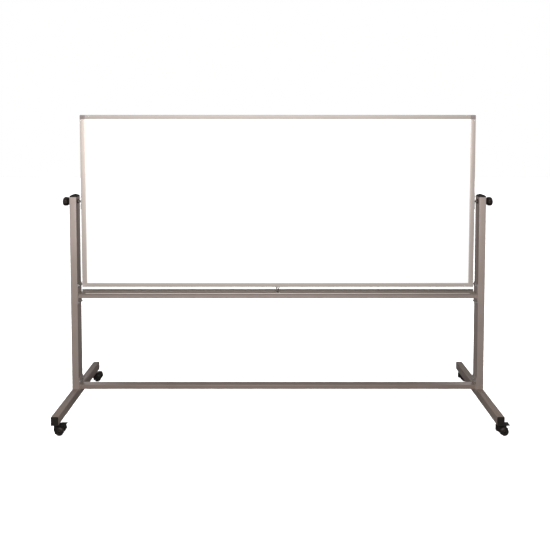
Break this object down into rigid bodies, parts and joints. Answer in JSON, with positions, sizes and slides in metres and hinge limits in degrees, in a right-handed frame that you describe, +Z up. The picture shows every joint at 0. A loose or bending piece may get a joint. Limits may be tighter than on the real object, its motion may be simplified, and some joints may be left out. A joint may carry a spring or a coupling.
{
  "type": "rolling whiteboard",
  "caption": "Two-sided framed whiteboard that flips end over end between two posts and clamps with knobs, on a wheeled stand with a marker tray and braked casters.",
  "frame": {"origin": "on the floor, under the middle of the stand", "axes": "+X along the board from left post to right post, +Y from the front face to the back face, +Z up"},
  "size_m": [2.6646, 0.613, 1.827],
  "materials": {
    "panel_core": "compressed fibreboard core, hidden inside the frame",
    "writing_surface": "smooth glossy white porcelain-enamelled steel writing skin",
    "board_aluminium": "satin anodised extrusion, light warm grey",
    "tray_aluminium": "satin anodised extrusion, warm grey",
    "corner_plastic_dark": "dark grey moulded corner",
    "corner_plastic": "light grey moulded corner",
    "zinc_steel": "bright zinc-plated steel",
    "spacer_plastic": "grey moulded plastic",
    "catch_plastic": "grey-brown moulded plastic",
    "frame_paint": "warm silver-grey powder coat, satin",
    "black_plastic": "black moulded plastic, fine grain",
    "knob_plastic": "black moulded knob, satin",
    "caster_plastic": "black nylon housing, slight gloss",
    "wheel_plastic": "black nylon wheel",
    "lever_plastic": "black nylon lever",
    "brass_insert": "moulded-in brass insert"
  },
  "bodies": {
    "stand": {"left_post": "frame_paint", "right_post": "frame_paint", "left_foot": "frame_paint", "right_foot": "frame_paint", "post_caps": "black_plastic", "foot_end_caps": "black_plastic", "post_plugs": "zinc_steel", "foot_bolts": "zinc_steel", "lower_crossbar": "frame_paint", "upper_crossbar": "frame_paint", "crossbar_brackets": "frame_paint", "bracket_bolts": "zinc_steel", "tray_floor": "tray_aluminium", "tray_lip": "tray_aluminium", "tray_back_wall": "tray_aluminium", "tray_end_caps": "spacer_plastic", "tray_screws": "zinc_steel", "catch_fork": "catch_plastic", "pivot_bushings": "black_plastic", "pivot_washers": "zinc_steel", "caster_sockets": "zinc_steel", "caster_stems": "zinc_steel", "caster_washers": "zinc_steel"},
    "board": {"board_core": "panel_core", "front_surface": "writing_surface", "rear_surface": "writing_surface", "top_rail": "board_aluminium", "bottom_rail": "board_aluminium", "left_rail": "board_aluminium", "right_rail": "board_aluminium", "top_corner_caps": "corner_plastic_dark", "bottom_corner_caps": "corner_plastic", "corner_screws": "zinc_steel", "pivot_plates": "zinc_steel", "pivot_plate_screws": "zinc_steel", "pivot_studs": "zinc_steel", "pivot_spacers": "spacer_plastic", "catch_striker": "zinc_steel"},
    "clamp_knob_left": {"knob_left": "knob_plastic", "knob_insert_left": "brass_insert"},
    "clamp_knob_right": {"knob_right": "knob_plastic", "knob_insert_right": "brass_insert"},
    "caster_front_left": {"caster_housing_front_left": "caster_plastic", "caster_axle_front_left": "zinc_steel"},
    "wheel_front_left_a": {"wheel_front_left_a": "wheel_plastic"},
    "wheel_front_left_b": {"wheel_front_left_b": "wheel_plastic"},
    "caster_front_right": {"caster_housing_front_right": "caster_plastic", "caster_axle_front_right": "zinc_steel"},
    "wheel_front_right_a": {"wheel_front_right_a": "wheel_plastic"},
    "wheel_front_right_b": {"wheel_front_right_b": "wheel_plastic"},
    "caster_rear_left": {"caster_housing_rear_left": "caster_plastic", "caster_axle_rear_left": "zinc_steel"},
    "wheel_rear_left_a": {"wheel_rear_left_a": "wheel_plastic"},
    "wheel_rear_left_b": {"wheel_rear_left_b": "wheel_plastic"},
    "caster_rear_right": {"caster_housing_rear_right": "caster_plastic", "caster_axle_rear_right": "zinc_steel"},
    "wheel_rear_right_a": {"wheel_rear_right_a": "wheel_plastic"},
    "wheel_rear_right_b": {"wheel_rear_right_b": "wheel_plastic"},
    "brake_left": {"brake_lever_left": "lever_plastic"},
    "brake_right": {"brake_lever_right": "lever_plastic"}
  },
  "joints": [
    {"name": "board_flip", "type": "hinge", "parent": "stand", "child": "board", "pos_m": [0, 0, 1.29], "axis": [1, 0, 0], "continuous": true},
    {"name": "knob_left_turn", "type": "hinge", "parent": "board", "child": "clamp_knob_left", "pos_m": [-1.3063, 0, 1.29], "axis": [-1, 0, 0], "continuous": true},
    {"name": "knob_right_turn", "type": "hinge", "parent": "board", "child": "clamp_knob_right", "pos_m": [1.3063, 0, 1.29], "axis": [1, 0, 0], "continuous": true},
    {"name": "swivel_front_left", "type": "hinge", "parent": "stand", "child": "caster_front_left", "pos_m": [-1.265, -0.277, 0.045], "axis": [0, 0, 1], "continuous": true},
    {"name": "roll_front_left_a", "type": "hinge", "parent": "caster_front_left", "child": "wheel_front_left_a", "pos_m": [-1.241, -0.277, 0.024], "axis": [0, 1, 0], "continuous": true},
    {"name": "roll_front_left_b", "type": "hinge", "parent": "caster_front_left", "child": "wheel_front_left_b", "pos_m": [-1.241, -0.277, 0.024], "axis": [0, 1, 0], "continuous": true},
    {"name": "swivel_front_right", "type": "hinge", "parent": "stand", "child": "caster_front_right", "pos_m": [1.265, -0.277, 0.045], "axis": [0, 0, 1], "continuous": true},
    {"name": "roll_front_right_a", "type": "hinge", "parent": "caster_front_right", "child": "wheel_front_right_a", "pos_m": [1.289, -0.277, 0.024], "axis": [0, 1, 0], "continuous": true},
    {"name": "roll_front_right_b", "type": "hinge", "parent": "caster_front_right", "child": "wheel_front_right_b", "pos_m": [1.289, -0.277, 0.024], "axis": [0, 1, 0], "continuous": true},
    {"name": "swivel_rear_left", "type": "hinge", "parent": "stand", "child": "caster_rear_left", "pos_m": [-1.265, 0.277, 0.045], "axis": [0, 0, 1], "continuous": true},
    {"name": "roll_rear_left_a", "type": "hinge", "parent": "caster_rear_left", "child": "wheel_rear_left_a", "pos_m": [-1.241, 0.277, 0.024], "axis": [0, 1, 0], "continuous": true},
    {"name": "roll_rear_left_b", "type": "hinge", "parent": "caster_rear_left", "child": "wheel_rear_left_b", "pos_m": [-1.241, 0.277, 0.024], "axis": [0, 1, 0], "continuous": true},
    {"name": "swivel_rear_right", "type": "hinge", "parent": "stand", "child": "caster_rear_right", "pos_m": [1.265, 0.277, 0.045], "axis": [0, 0, 1], "continuous": true},
    {"name": "roll_rear_right_a", "type": "hinge", "parent": "caster_rear_right", "child": "wheel_rear_right_a", "pos_m": [1.289, 0.277, 0.024], "axis": [0, 1, 0], "continuous": true},
    {"name": "roll_rear_right_b", "type": "hinge", "parent": "caster_rear_right", "child": "wheel_rear_right_b", "pos_m": [1.289, 0.277, 0.024], "axis": [0, 1, 0], "continuous": true},
    {"name": "brake_left_press", "type": "hinge", "parent": "caster_front_left", "child": "brake_left", "pos_m": [-1.249, -0.277, 0.054], "axis": [0, 1, 0], "range_deg": [0, 10]},
    {"name": "brake_right_press", "type": "hinge", "parent": "caster_front_right", "child": "brake_right", "pos_m": [1.281, -0.277, 0.054], "axis": [0, 1, 0], "range_deg": [0, 10]}
  ]
}
